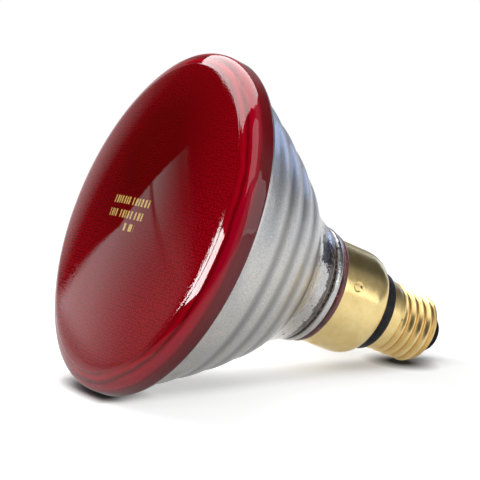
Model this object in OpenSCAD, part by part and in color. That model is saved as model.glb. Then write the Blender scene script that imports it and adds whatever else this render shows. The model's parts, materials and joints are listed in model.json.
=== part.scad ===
// Sealed-beam infrared heat lamp: a red pressed-glass lens on a ringed glass
// reflector bowl, with a skirted brass screw cap. It lies on its side on the
// rim and on the screw thread, floor at z = 0, lens to the front (-Y).
//
// Every piece is drawn standing on the lamp's own axis, in (radius, station)
// profiles. A station is the distance along the axis from the plane of the
// window's edge, growing towards the cap. laid_down() puts it in its place.

/* [Glass lens] */
// Outside diameter of the rim
rim_d = 122; // [120:0.5:124]
// Diameter of the stippled window inside the rim
window_d = 111; // [108:0.5:112]
// Rise of the domed window above its own edge
dome_h = 6; // [4:0.5:7]
// Depth of the lens, from the window's edge to the joint with the bowl
rim_depth = 10; // [9:0.5:11]
// Thickness of the lens glass
lens_t = 3.2; // [2.6:0.1:3.4]

/* [Glass bowl] */
// Station of the outer paraboloid's vertex
vertex_s = 69.8; // [69:0.2:70.6]
// Glass thickness at the vertex
bowl_t = 3.5; // [3:0.25:4]
// Number of raised rings pressed into the outside
ring_count = 4; // [2:1:4]
// Length of one raised ring along the axis
ring_pitch = 9.15; // [8.5:0.05:9.4]
// Height of the raised rings
ring_h = 0.5; // [0.2:0.05:0.6]
// Station where the rings end and the smooth neck begins
neck_s = 52.85; // [52:0.05:53.5]

/* [Skirt] */
// Outside diameter of the brass skirt
skirt_d = 39; // [38.6:0.1:39.6]
// Thickness of the sheet brass
sheet_t = 0.5; // [0.4:0.05:0.6]
// Station of the skirt's front edge
skirt_s = 74.4; // [74.2:0.1:75]
// Length of the skirt from front edge to end flange
skirt_len = 22; // [21.2:0.1:22.7]
// Number of punched dimples that grip the glass neck
dimple_count = 4; // [2:1:6]
// Angle of the first dimple round the axis
dimple_turn = 77; // [0:1:90]

/* [Screw shell] */
// Crest diameter of the E27 thread
crest_d = 26.4; // [26.1:0.05:26.45]
// Root diameter of the E27 thread
root_d = 24.2; // [24.1:0.05:24.4]
// Thread pitch, seven turns to the inch
thread_pitch = 3.629; // [3.62:0.001:3.64]
// Outside diameter of the plain collar below the thread
collar_d = 26.6; // [26.5:0.05:26.8]
// Length of the plain collar
collar_len = 4; // [3.6:0.1:4.4]
// Length of the shell from the collar's edge to its open end
shell_len = 23; // [22.6:0.1:23.4]

/* [Filament mount] */
// Distance between the two lead posts
post_gap = 16; // [15:0.5:17]
// Diameter of the lead posts
post_d = 1.6; // [1.2:0.1:2]
// Turns in the filament coil
coil_turns = 26; // [16:1:30]
// Diameter of the filament coil, wire centre to wire centre
coil_d = 1.4; // [1.2:0.1:1.6]

/* [Hidden] */
$fn = 96;
EPS = 0.01;

// Radii of the glass
rim_r = rim_d / 2;
window_r = window_d / 2;
dome_r = (window_r * window_r + dome_h * dome_h) / (2 * dome_h);
dome_c = dome_r - dome_h;
rim_step = 0.35;
rim_round = 5;
rim_edge = 0.6;
wall_in_r = rim_r - 4;
mouth_r = rim_r - 2.7;
mirror_mouth_r = rim_r - 5.4;
flange_r = rim_r - 0.7;

// Paraboloids: radius squared is the factor times the distance to the vertex
outer_k = mouth_r * mouth_r / (vertex_s - rim_depth);
mirror_s = vertex_s - bowl_t;
mirror_k = mirror_mouth_r * mirror_mouth_r / (mirror_s - rim_depth);
focus_s = mirror_s - mirror_k / 4;
blend_s = rim_depth + 3;
ring_s = neck_s - ring_count * ring_pitch;
mirror_steps = 26;
mirror_t = 0.3;

// Neck, base and the seat of the skirt
neck_end_s = 66.4;
neck_end_r = 22.5;
groove_r = 21.2;
bead_s = 69.6;
bead_r = 21.8;
skirt_r = skirt_d / 2;
seat_r = skirt_r - sheet_t - 1;
seat_s = 71.6;
seat_end_s = seat_s + 12.4;
base_s = mirror_s + 5.2;
base_recess_r = 14.5;

// Ferrules and pump tube in the base
post_x = post_gap / 2;
ferrule_r = 4;
ferrule_t = 0.4;
ferrule_embed = 1;
ferrule_top_s = base_s + 7.5;
post_hole_r = 3;
braze_h = 1.4;
pump_r = 3;
pump_bore_r = 1.6;
pump_len = 8;

// Filament and its supports
coil_wire_r = 0.15;
coil_r = coil_d / 2;
coil_sides = 6;
coil_steps = 11;
post_top_s = focus_s + coil_r + coil_wire_r;
bead_rod_s = focus_s + 9;
bead_rod_r = 1.9;
support_r = 0.25;
hook_r = coil_r + coil_wire_r + support_r + 0.1;
support_angles = [45, 90, 135];

// Cap stations
skirt_end_s = skirt_s + skirt_len;
shoulder_s = skirt_end_s - 7.4;
ring_len = 4.8;
collar_s = skirt_end_s + ring_len;
shell_end_s = collar_s + shell_len;
insulator_end_s = shell_end_s + 5.6;
insulator_end_r = 5.8;
plate_r = 4.9;
plate_end_s = insulator_end_s + 0.8;
contact_s = plate_end_s + 1.2;
contact_r = 1.8;

// Dimples in the skirt
dimple_s = 80.1;
dimple_r = 1.9;
dimple_depth = 0.8;

// Insulating ring
ring_front_r = 15.3;
ring_back_r = 14.4;
ring_bore_r = 9;
ring_spigot_r = 10.9;

// Shell and thread
collar_r = collar_d / 2;
crest_r = crest_d / 2;
root_r = root_d / 2;
shell_t = 0.4;
thread_s = collar_s + collar_len;
shell_mouth_r = 10.8;
close_s = shell_end_s - 3.2;
thread_sides = 48;
steps_per_turn = 8;
lap = 0.4;

// Resting attitude: the rim's back edge and the last crest both touch the floor
crest_s = close_s - 0.4;
rest_s = rim_depth - rim_edge;
tilt = atan2(rim_r - crest_r, crest_s - rest_s);
lift = rim_r * cos(tilt) + rest_s * sin(tilt);

// Wires in the cap
wire_r = 0.4;
wire_sides = 8;
fuse_x = -3;
fuse_s = [seat_end_s + 4, seat_end_s + 24];
fuse_bore_r = 1.2;
fuse_tube_r = 2;
centre_route = [
    [fuse_x, 0, fuse_s[1] + 2],
    [-2.4, 0, fuse_s[1] + 4],
    [-0.6, 0, fuse_s[1] + 6.5],
    [0, 0, fuse_s[1] + 9],
    [0, 0, plate_end_s - EPS]
];
fuse_route = [
    [-post_x, 0, ferrule_top_s],
    [-post_x, 0, ferrule_top_s + 2],
    [-5, 0, ferrule_top_s + 5],
    [fuse_x, 0, fuse_s[0] - 2],
    [fuse_x, 0, fuse_s[0] + 8],
    [fuse_x, 0, fuse_s[1] + 2]
];
shell_route = [
    [post_x, 0, ferrule_top_s],
    [post_x, 0, ferrule_top_s + 3],
    [7.4, 0, ferrule_top_s + 9],
    [7, 0, skirt_end_s],
    [7.6, 0, collar_s + 1],
    [10.4, 0, collar_s + 4.6],
    [collar_r - shell_t - wire_r - 0.6, 0, collar_s + 6]
];

// Points of an elliptical arc
function arc(c, rx, ry, from, to, n) = [
    for (i = [0:n])
        let (a = from + (to - from) * i / n)
        [c[0] + rx * cos(a), c[1] + ry * sin(a)]
];

// Points of a curve from a to c that leaves and arrives towards b
function bend(a, b, c, n) = [
    for (i = [0:n])
        let (t = i / n)
        (1 - t) * (1 - t) * a + 2 * t * (1 - t) * b + t * t * c
];

function reversed(points) = [for (i = [len(points) - 1:-1:0]) points[i]];
function unit(v) = v / norm(v);
function bowl_r(s) = sqrt(outer_k * (vertex_s - s));
function dome_s(r, radius) = dome_c - sqrt(radius * radius - r * r);

// Height of the raised rings above the paraboloid: broad crests, narrower grooves
function ring_wave(s) = ring_h * pow((1 - cos(360 * (s - ring_s) / ring_pitch)) / 2, 0.75);

// Radius of the screw shell: a plain start, the knuckle thread, a closing curve
function fade(x) = x <= 0 ? 0 : x >= 1 ? 1 : x * x * (3 - 2 * x);
function shell_close(s) = s <= close_s ? 0 : pow((s - close_s) / (shell_end_s - close_s), 2);
function thread_r(s, a) =
    let (
        depth = (crest_r - root_r) * fade((s - thread_s) / thread_pitch) * fade((shell_end_s - s) / 2.6),
        wave = (1 - cos(360 * (s - crest_s) / thread_pitch - a)) / 2
    )
    crest_r - depth * wave - (crest_r - shell_mouth_r) * shell_close(s);

// A smooth route through points, n steps between each pair
function spline(p, n) = [
    for (i = [0:len(p) - 2], j = [0:n - 1])
        let (
            a = p[max(i - 1, 0)],
            b = p[i],
            c = p[i + 1],
            d = p[min(i + 2, len(p) - 1)],
            t = j / n
        )
        b + (c - a) * t / 2 + (2 * a - 5 * b + 4 * c - d) * t * t / 2
            + (3 * b - a - 3 * c + d) * t * t * t / 2,
    p[len(p) - 1]
];

// The two triangles of each quad of a grid's strip
function split(quads) = [for (q = quads) each [[q[0], q[1], q[2]], [q[0], q[2], q[3]]]];

// Quads between neighbouring rows of a closed grid, cols points to a row
function grid(rows, cols) = [
    for (i = [0:rows - 2], k = [0:cols - 1])
        let (a = i * cols + k, b = i * cols + (k + 1) % cols)
        [a, a + cols, b + cols, b]
];

// A round wire along a route; across holds one direction per point, never parallel to the route
module wire(p, r, sides, across) {
    n = len(p);
    points = [
        for (i = [0:n - 1])
            let (
                t = unit(p[min(i + 1, n - 1)] - p[max(i - 1, 0)]),
                u = unit(cross(across[i], t)),
                v = cross(t, u)
            )
            for (k = [0:sides - 1])
                p[i] + r * (cos(360 * k / sides) * u + sin(360 * k / sides) * v)
    ];
    front = [[for (k = [0:sides - 1]) k]];
    back = [[for (k = [sides - 1:-1:0]) (n - 1) * sides + k]];
    polyhedron(points, concat(split(grid(n, sides)), front, back), convexity = 8);
}

// A wire that stays in the plane of the two posts
module flat_wire(route, r) {
    p = spline(route, 4);
    wire(p, r, wire_sides, [for (q = p) [0, 1, 0]]);
}

// A straight rod between two points
module rod(a, b, r) {
    d = b - a;
    translate(a)
        rotate([0, acos(d[2] / norm(d)), atan2(d[1], d[0])])
            cylinder(h = norm(d), r = r);
}

module turned(profile) {
    rotate_extrude() polygon(profile);
}

// Outline of the lens: window, rim, edge, and back inside
LENS_OUTSIDE = concat(
    [for (i = [0:24]) let (r = window_r * i / 24) [r, dome_s(r, dome_r)]],
    arc([window_r + 0.2, rim_round], rim_r - window_r - 0.2, rim_round - rim_step, -90, 0, 9),
    [[rim_r, rest_s], [flange_r, rim_depth]]
);
LENS_INSIDE = concat(
    [[wall_in_r, rim_depth]],
    bend(
        [wall_in_r, rim_round + 1.5],
        [wall_in_r, lens_t],
        [window_r - 2, dome_s(window_r - 2, dome_r - lens_t)],
        5
    ),
    [for (i = [23:-1:0]) let (r = (window_r - 2) * i / 24) [r, dome_s(r, dome_r - lens_t)]]
);

// Side of the solder drop, from the eyelet to the flat that touches the holder
SOLDER_SIDE = bend([3.4, plate_end_s], [3.2, contact_s - 0.1], [contact_r, contact_s], 5);

// Centre of the lying lamp, front to back
front_y = min([for (p = LENS_OUTSIDE) p[1] * cos(tilt) - p[0] * sin(tilt)]);
back_y = max([for (p = SOLDER_SIDE) p[1] * cos(tilt) + p[0] * sin(tilt)]);

module laid_down() {
    translate([0, -(front_y + back_y) / 2, lift])
        rotate([-(90 + tilt), 0, 0])
            children();
}

// Surface of the mirror, from its vertex to the mouth
MIRROR = [
    for (i = [0:mirror_steps])
        let (r = mirror_mouth_r * i / mirror_steps)
        [r, mirror_s - r * r / mirror_k]
];

module post_places() {
    for (x = [-post_x, post_x])
        translate([x, 0, 0])
            children();
}

// Domed red lens with its deep smooth rim
module front_lens() {
    color("firebrick")
        laid_down()
            turned(concat(LENS_OUTSIDE, LENS_INSIDE));
}

// Ringed paraboloid with its neck, base and skirt seat
module reflector_bowl() {
    shoulder = bend(
        [flange_r, rim_depth + 0.8],
        [mouth_r, rim_depth + 1],
        [bowl_r(blend_s), blend_s],
        4
    );
    plain = [for (i = [1:2]) let (s = blend_s + (ring_s - blend_s) * i / 3) [bowl_r(s), s]];
    ringed = [
        for (k = [0:ring_count - 1], i = [0:9])
            let (s = ring_s + ring_pitch * (k + i / 10))
            [bowl_r(s) + ring_wave(s), s]
    ];
    neck = bend(
        [bowl_r(neck_s), neck_s],
        [neck_end_r + 3, neck_s + 5.4],
        [neck_end_r, neck_end_s],
        8
    );
    outside = concat(
        [[flange_r, rim_depth]],
        shoulder,
        plain,
        ringed,
        neck,
        [[groove_r, neck_end_s + 1.1]],
        arc([bead_r - 1, bead_s], 1, 1.6, -70, 60, 6),
        [[bead_r - 1.2, seat_s], [seat_r, seat_s], [seat_r, seat_end_s - 1]],
        [[seat_r - 1, seat_end_s], [base_recess_r, seat_end_s], [base_recess_r, base_s]]
    );
    color("lightsteelblue", 0.6)
        laid_down()
            difference() {
                turned(concat(outside, [[0, base_s]], MIRROR));
                post_places() {
                    translate([0, 0, mirror_s - 6])
                        cylinder(h = 16, r = post_hole_r);
                    translate([0, 0, base_s - ferrule_embed])
                        difference() {
                            cylinder(h = 4, r = ferrule_r);
                            translate([0, 0, -1])
                                cylinder(h = 6, r = ferrule_r - ferrule_t);
                        }
                }
                translate([0, 0, mirror_s - 2])
                    cylinder(h = 12, r = pump_bore_r);
            }
}

// Thin bright metal on the inside of the bowl
module mirror_coating() {
    coated = [for (i = [0:mirror_steps - 1]) MIRROR[i]];
    bright = [for (p = coated) [p[0], p[1] - mirror_t]];
    color("silver")
        laid_down()
            difference() {
                turned(concat(coated, reversed(bright)));
                post_places()
                    translate([0, 0, mirror_s - 8])
                        cylinder(h = 16, r = post_hole_r + 0.2);
                translate([0, 0, mirror_s - 8])
                    cylinder(h = 16, r = pump_bore_r + 0.2);
            }
}

// Metal cup fused into the base round one lead post
module ferrule(x) {
    color("gray")
        laid_down()
            translate([x, 0, 0])
                turned([
                    [ferrule_r - ferrule_t, base_s - ferrule_embed],
                    [ferrule_r, base_s - ferrule_embed],
                    [ferrule_r, ferrule_top_s - ferrule_t],
                    [ferrule_r - ferrule_t, ferrule_top_s],
                    [0, ferrule_top_s],
                    [0, ferrule_top_s - ferrule_t],
                    [ferrule_r - ferrule_t, ferrule_top_s - ferrule_t]
                ]);
}

// Straight nickel rod that carries one end of the filament
module lead_post(x) {
    color("darkgray")
        laid_down()
            translate([x, 0, post_top_s])
                cylinder(h = ferrule_top_s - ferrule_t - post_top_s, d = post_d);
}

// Brazing metal that joins each post to the floor of its cup
module post_brazing() {
    floor_s = ferrule_top_s - ferrule_t;
    color("peru")
        laid_down()
            post_places()
                turned([
                    [post_d / 2, floor_s],
                    [ferrule_r - ferrule_t, floor_s],
                    [ferrule_r - ferrule_t, floor_s - braze_h / 2],
                    [post_d, floor_s - braze_h],
                    [post_d / 2, floor_s - 2 * braze_h]
                ]);
}

// Glass tube through which the lamp was pumped, melted shut at its tip
module exhaust_tube() {
    color("lightcyan")
        laid_down()
            turned([
                [pump_bore_r, base_s],
                [pump_r, base_s],
                [pump_r, base_s + pump_len * 0.6],
                [pump_r * 0.6, base_s + pump_len * 0.85],
                [0, base_s + pump_len],
                [0, base_s + pump_len * 0.8],
                [pump_bore_r, base_s + pump_len * 0.55]
            ]);
}

// Coiled tungsten wire on a half circle from post to post
module filament() {
    steps = coil_turns * coil_steps;
    along = [for (i = [0:steps]) 180 * i / steps];
    route = [
        for (a = along)
            let (twist = 2 * coil_turns * a, ring = post_x + coil_r * cos(twist))
            [-ring * cos(a), ring * sin(a), focus_s + coil_r * sin(twist)]
    ];
    color("dimgray")
        laid_down()
            wire(route, coil_wire_r, coil_sides, [for (a = along) [sin(a), cos(a), 0]]);
}

function support_foot(a) = [-post_x * 0.55 * cos(a), 0, bead_rod_s];
function support_head(a) = [-post_x * cos(a), post_x * sin(a), focus_s + hook_r];

// Straight lengths of the support wires
module support_rods() {
    for (a = support_angles)
        rod(support_foot(a), support_head(a), support_r);
}

// Molybdenum wires that hold the coil, each with a ring round it
module filament_supports() {
    color("slategray")
        laid_down() {
            difference() {
                support_rods();
                translate([0, 0, focus_s])
                    cylinder(h = hook_r - EPS, r = post_x + 2);
            }
            for (a = support_angles)
                translate([-post_x * cos(a), post_x * sin(a), focus_s])
                    rotate([90, 0, 90 - a])
                        rotate_extrude()
                            translate([hook_r, 0])
                                circle(r = support_r);
        }
}

// Glass rod across the posts that carries the support wires
module support_bead() {
    color("lightcyan")
        laid_down()
            difference() {
                translate([-post_x - 2.2, 0, bead_rod_s])
                    rotate([0, 90, 0])
                        cylinder(h = post_gap + 4.4, r = bead_rod_r);
                post_places()
                    translate([0, 0, bead_rod_s - 5])
                        cylinder(h = 10, d = post_d);
                support_rods();
            }
}

// Brass skirt with a rounded front edge, four punched dimples and an end flange
module skirt() {
    inner_r = skirt_r - sheet_t;
    profile = concat(
        [[inner_r, skirt_s]],
        arc([skirt_r - 0.2, skirt_s + 0.2], 0.2, 0.2, -90, 0, 4),
        bend([skirt_r, shoulder_s], [skirt_r, skirt_end_s - 1.6], [ring_front_r + 0.3, skirt_end_s], 8),
        [[ring_spigot_r, skirt_end_s], [ring_spigot_r, skirt_end_s - sheet_t]],
        bend(
            [ring_front_r + 0.1, skirt_end_s - sheet_t],
            [inner_r, skirt_end_s - 2.1],
            [inner_r, shoulder_s],
            8
        )
    );
    color("goldenrod")
        laid_down()
            difference() {
                union() {
                    turned(profile);
                    intersection() {
                        dimples(dimple_r + sheet_t);
                        translate([0, 0, dimple_s - 2 * dimple_r])
                            cylinder(r = skirt_r - sheet_t / 2, h = 4 * dimple_r);
                    }
                }
                dimples(dimple_r);
            }
}

// Balls of a given radius round the centres of the punch's nose
module dimples(r) {
    for (i = [0:dimple_count - 1])
        rotate([0, 0, dimple_turn + 360 * i / dimple_count])
            translate([skirt_r - dimple_depth + dimple_r, 0, dimple_s])
                sphere(r = r);
}

// Capping cement between skirt and glass, pressed out as a fillet ahead of the skirt
module cement_ring() {
    color("saddlebrown")
        laid_down()
            difference() {
                turned(concat(
                    [[seat_r, seat_s], [skirt_r + 0.4, seat_s]],
                    arc([skirt_r + 0.3, seat_s + 1.4], 1.1, 1.35, -80, 80, 8),
                    [
                        [skirt_r, skirt_s],
                        [skirt_r - sheet_t, skirt_s],
                        [skirt_r - sheet_t, seat_end_s - 2],
                        [seat_r, seat_end_s - 1.4]
                    ]
                ));
                dimples(dimple_r + sheet_t);
            }
}

// Black moulded ring that keeps the skirt and the screw shell apart
module insulating_ring() {
    color("#1c1c1f")
        laid_down()
            turned([
                [ring_bore_r, skirt_end_s - 2.4],
                [ring_spigot_r + 2, skirt_end_s - 2.4],
                [ring_spigot_r + 2, skirt_end_s - sheet_t],
                [ring_spigot_r, skirt_end_s - sheet_t],
                [ring_spigot_r, skirt_end_s],
                [ring_front_r - 0.2, skirt_end_s],
                [ring_front_r, skirt_end_s + 0.4],
                [ring_front_r - 0.1, skirt_end_s + 3],
                [ring_back_r, collar_s],
                [collar_r - shell_t, collar_s],
                [collar_r - shell_t, collar_s + 2.4],
                [ring_bore_r, collar_s + 2.4]
            ]);
}

// Brass screw shell: plain collar, rolled thread, turned-in open end
module screw_shell() {
    rows = floor((shell_end_s - thread_s + lap) / (thread_pitch / steps_per_turn));
    step = (shell_end_s - thread_s + lap) / rows;
    points = [
        for (inset = [0, shell_t], i = [0:rows], k = [0:thread_sides - 1])
            let (
                s = thread_s - lap + i * step,
                a = 360 * k / thread_sides,
                r = thread_r(s, a - 90) - inset
            )
            [r * cos(a), r * sin(a), s]
    ];
    count = (rows + 1) * thread_sides;
    last = rows * thread_sides;
    outside = split(grid(rows + 1, thread_sides));
    inside = [for (f = outside) [f[2] + count, f[1] + count, f[0] + count]];
    ends = [
        for (k = [0:thread_sides - 1])
            let (n = (k + 1) % thread_sides)
            each [
                [k, n, n + count, k + count],
                [last + n, last + k, last + k + count, last + n + count]
            ]
    ];
    color("gold")
        laid_down()
            union() {
                turned([
                    [collar_r - shell_t, collar_s],
                    [collar_r, collar_s],
                    [collar_r, thread_s],
                    [collar_r - shell_t, thread_s]
                ]);
                polyhedron(points, concat(outside, inside, ends), convexity = 8);
            }
}

// Black glass that closes the shell and carries the centre contact
module end_insulator() {
    plug_r = root_r - shell_t - 0.3;
    throat_r = shell_mouth_r - shell_t - 0.2;
    color("#18181b")
        laid_down()
            turned([
                [1.2, shell_end_s - 5.8],
                [plug_r, shell_end_s - 5.8],
                [plug_r, shell_end_s - 3],
                [throat_r, shell_end_s - 1.2],
                [throat_r, shell_end_s],
                [throat_r - 0.7, shell_end_s + 0.9],
                [insulator_end_r + 0.4, insulator_end_s - 0.4],
                [insulator_end_r, insulator_end_s],
                [1.2, insulator_end_s]
            ]);
}

// Brass eyelet in the middle of the end insulator
module contact_plate() {
    color("khaki")
        laid_down()
            turned([
                [1, insulator_end_s],
                [plate_r, insulator_end_s],
                [plate_r, insulator_end_s + 0.4],
                [plate_r - 0.5, plate_end_s],
                [1, plate_end_s]
            ]);
}

// Drop of solder with a worn flat where it meets the holder's spring
module contact_solder() {
    color("lightgray")
        laid_down()
            turned(concat([[0, plate_end_s]], SOLDER_SIDE, [[0, contact_s]]));
}

// Thin wire from the left cup, through the sleeve, towards the contact
module fuse_wire() {
    color("silver")
        laid_down()
            flat_wire(fuse_route, wire_r * 0.6);
}

// Glass sleeve round the fuse wire
module fuse_sleeve() {
    color("white")
        laid_down()
            difference() {
                translate([fuse_x, 0, fuse_s[0]])
                    cylinder(h = fuse_s[1] - fuse_s[0], r = fuse_tube_r);
                translate([fuse_x, 0, fuse_s[0] - 1])
                    cylinder(h = fuse_s[1] - fuse_s[0] + 2, r = fuse_bore_r);
            }
}

// Wire from the fuse to the centre contact
module centre_wire() {
    color("orange")
        laid_down()
            flat_wire(centre_route, wire_r);
}

// Wire from the right cup to the inside of the screw shell
module shell_wire() {
    color("orange")
        laid_down()
            flat_wire(shell_route, wire_r);
}

// Solder that joins the side wire to the shell
module shell_solder() {
    color("lightgray")
        laid_down()
            translate(shell_route[len(shell_route) - 1])
                difference() {
                    sphere(r = 0.9);
                    translate([-1, -1, -2])
                        cube([2, 2, 2]);
                }
}

front_lens();
reflector_bowl();
mirror_coating();
ferrule(-post_x);  // ferrule_left
ferrule(post_x);  // ferrule_right
lead_post(-post_x);  // lead_post_left
lead_post(post_x);  // lead_post_right
post_brazing();
exhaust_tube();
filament();
filament_supports();
support_bead();
skirt();
cement_ring();
insulating_ring();
screw_shell();
end_insulator();
contact_plate();
contact_solder();
fuse_wire();
fuse_sleeve();
centre_wire();
shell_wire();
shell_solder();
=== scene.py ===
"""Red infrared heat lamp lying on its side: the looks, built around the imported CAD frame."""
import json
import math

import bmesh
import bpy
from mathutils import Matrix, Vector

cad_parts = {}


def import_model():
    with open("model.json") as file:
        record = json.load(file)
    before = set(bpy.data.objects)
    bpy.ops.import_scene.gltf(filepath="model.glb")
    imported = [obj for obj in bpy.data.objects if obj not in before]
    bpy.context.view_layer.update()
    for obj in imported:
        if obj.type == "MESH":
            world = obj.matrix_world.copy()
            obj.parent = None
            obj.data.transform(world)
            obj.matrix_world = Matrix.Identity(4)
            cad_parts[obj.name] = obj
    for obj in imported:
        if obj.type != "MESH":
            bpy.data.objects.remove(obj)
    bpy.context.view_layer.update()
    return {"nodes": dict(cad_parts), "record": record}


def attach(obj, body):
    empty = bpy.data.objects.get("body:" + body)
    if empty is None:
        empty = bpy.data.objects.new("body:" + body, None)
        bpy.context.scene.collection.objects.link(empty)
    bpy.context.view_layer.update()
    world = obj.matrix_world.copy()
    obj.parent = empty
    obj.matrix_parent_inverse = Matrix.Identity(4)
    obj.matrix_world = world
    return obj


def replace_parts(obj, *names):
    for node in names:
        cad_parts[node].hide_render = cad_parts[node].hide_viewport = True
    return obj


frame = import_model()

MM = 0.001
TURNS = 320          # segments round the large glass pieces
CAP_TURNS = 192      # segments round the cap
SKIRT_TURNS = 720    # finer, for the small dimples
CONTACT_TURNS = 96   # segments round the eyelet and its solder

# Radii, heights and stations in mm. A name ending in _S is a station: the distance along the lamp's
# axis from the plane of the window's edge towards the cap.
RIM_R, WINDOW_R, DOME_H, RIM_DEPTH = 61.0, 55.5, 6.0, 10.0
LENS_T = 3.2                             # thickness of the window's glass
DOME_R = (WINDOW_R ** 2 + DOME_H ** 2) / (2 * DOME_H)
SHOULDER_R, SHOULDER_DROP = 52.5, 0.012  # the dome turns down a little outside this radius
MOUTH_R, BOWL_R = 60.3, 58.3             # the bowl's edge under the rim, and its paraboloid there
VERTEX_S, NECK_S, RING_PITCH, RING_COUNT, RING_H = 69.8, 52.85, 9.15, 4, 0.5
HOLLOW_R, HOLLOW_S, HOLLOW_CURVE = 55.6, 66.3, 54.91   # the paraboloid inside the bowl
SEAT_S, SEAT_R, BASE_S, BASE_R = 71.6, 18.0, 84.0, 14.5
SKIRT_S, SKIRT_END_S, SKIRT_R, SKIRT_BORE_R = 74.4, 96.4, 19.5, 19.0
FLANGE_S, FLANGE_R = 95.9, 10.9          # inner face and hole of the skirt's end flange
DIMPLE_S, DIMPLE_TURN, DIMPLE_COUNT = 80.1, 77, 4
DIMPLE_SIZE, DIMPLE_DEPTH = 1.8, 1.0
SPIGOT_R, LEAD_BORE_R, RING_FRONT_S, RING_BACK_S = 12.9, 9.0, 94.0, 103.6   # the ring's hidden parts
COLLAR_S, THREAD_S, SHELL_END_S = 101.2, 105.2, 124.2
CREST_R, ROOT_R, COLLAR_R, THREAD_PITCH = 13.2, 12.1, 13.3, 3.629
CLOSED_R = 10.8                          # the shell's radius where it closes on the end glass
PLUG_S, PLUG_R, END_R = 118.4, 11.2, 10.2   # the end glass in the shell, and its radius at the shell's end
INSULATOR_S, PLATE_S, CONTACT_S = 129.8, 130.6, 131.8
COLLAR_MOUNT_S = 103.2

# Places in the lamp's own axes, in mm
REFLECTION_SHORTEN = 0.8                # factor on stations that draws the painted dark reflection out along the axis
NECK_REFLECTION_MIDDLE = (21.2, -11.0, 48.8)        # middle of the painted dark reflection on the neck, its station times that factor
WINDOW_PAINTED_SHADE_HEART = (2, -22, -5)        # where the painted shade on the window is deepest
WINDOW_CALM = (2, -12, -5)         # where its surface is smoothest

# The floor's painted contact shadow, in metres of the row frame
FLOOR_R = 6
THREAD_TOUCH = (0.003, 0.0543)     # where the thread rests
TOUCH_NARROW = 1.8                 # how much shorter its dark spot is along Y than along X
CONTACT_REACH = 0.012              # how near the lamp has to be to darken the floor


# ---------------------------------------------------------------- frame of the lamp

def lamp_frame():
    """Matrix from the lamp's own axes (mm, +Z towards the cap) to the row frame (m)."""
    mount = next(m for m in frame["record"]["mounts"] if m["name"] == "cap_collar")
    along = Vector(mount["axis"]).normalized()
    across = Vector((1, 0, 0))
    down = along.cross(across)
    origin = Vector(mount["pos_m"]) - along * COLLAR_MOUNT_S * MM
    turn = Matrix((across, down, along)).transposed().to_4x4()
    return Matrix.Translation(origin) @ turn @ Matrix.Scale(MM, 4)


LAMP = lamp_frame()
LAMP_ORIGIN = LAMP.translation
LAMP_EULER = LAMP.to_euler()


# ---------------------------------------------------------------- curves and meshes

def arc(centre, rx, ry, start, end, steps):
    """Points of an elliptical arc, angles in degrees."""
    out = []
    for i in range(steps + 1):
        a = math.radians(start + (end - start) * i / steps)
        out.append((centre[0] + rx * math.cos(a), centre[1] + ry * math.sin(a)))
    return out


def bend(a, b, c, steps):
    """Points of a curve from a to c that leaves and arrives towards b."""
    out = []
    for i in range(steps + 1):
        t = i / steps
        out.append(tuple((1 - t) ** 2 * p + 2 * t * (1 - t) * q + t * t * r for p, q, r in zip(a, b, c)))
    return out


def smooth_step(x):
    """0 up to 0, 1 from 1 on, and a smooth curve between."""
    x = min(max(x, 0.0), 1.0)
    return x * x * (3 - 2 * x)


def new_piece(name, verts, faces, materials, slots=None, sharp=40):
    """A smooth mesh piece in the row frame that rides on the lamp."""
    mesh = bpy.data.meshes.new(name)
    mesh.from_pydata([LAMP @ Vector(v) for v in verts], [], faces)
    for m in materials:
        mesh.materials.append(m)
    if slots:
        for poly, s in zip(mesh.polygons, slots):
            poly.material_index = s
    mesh.validate()
    bm = bmesh.new()
    bm.from_mesh(mesh)
    bmesh.ops.remove_doubles(bm, verts=bm.verts, dist=1e-7)
    bmesh.ops.recalc_face_normals(bm, faces=bm.faces)
    bm.to_mesh(mesh)
    bm.free()
    mesh.shade_smooth()
    mesh.set_sharp_from_angle(angle=math.radians(sharp))
    piece = bpy.data.objects.new(name, mesh)
    bpy.context.scene.collection.objects.link(piece)
    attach(piece, "root")
    return piece


def revolve(name, profile, turns, materials, shape=None, sharp=40, zone=None):
    """A closed outline of (radius, station) points turned round the axis.
    shape(r, s, angle) may move a point; zone(r, s) picks a face's material."""
    verts, faces, slots = [], [], []
    n = len(profile)
    for k in range(turns):
        a = 2 * math.pi * k / turns
        for r, s in profile:
            rr, ss = shape(r, s, a) if shape else (r, s)
            verts.append((rr * math.cos(a), rr * math.sin(a), ss))
    for k in range(turns):
        m = (k + 1) % turns
        for i in range(n):
            j = (i + 1) % n
            (r0, s0), (r1, s1) = profile[i], profile[j]
            if r0 == 0 and r1 == 0:
                continue
            if r0 == 0:
                face = (k * n + i, k * n + j, m * n + j)
            elif r1 == 0:
                face = (k * n + i, k * n + j, m * n + i)
            else:
                face = (k * n + i, k * n + j, m * n + j, m * n + i)
            faces.append(face)
            slots.append(zone((r0 + r1) / 2, (s0 + s1) / 2) if zone else 0)
    return new_piece(name, verts, faces, materials, slots, sharp)


# ---------------------------------------------------------------- material helpers

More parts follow.
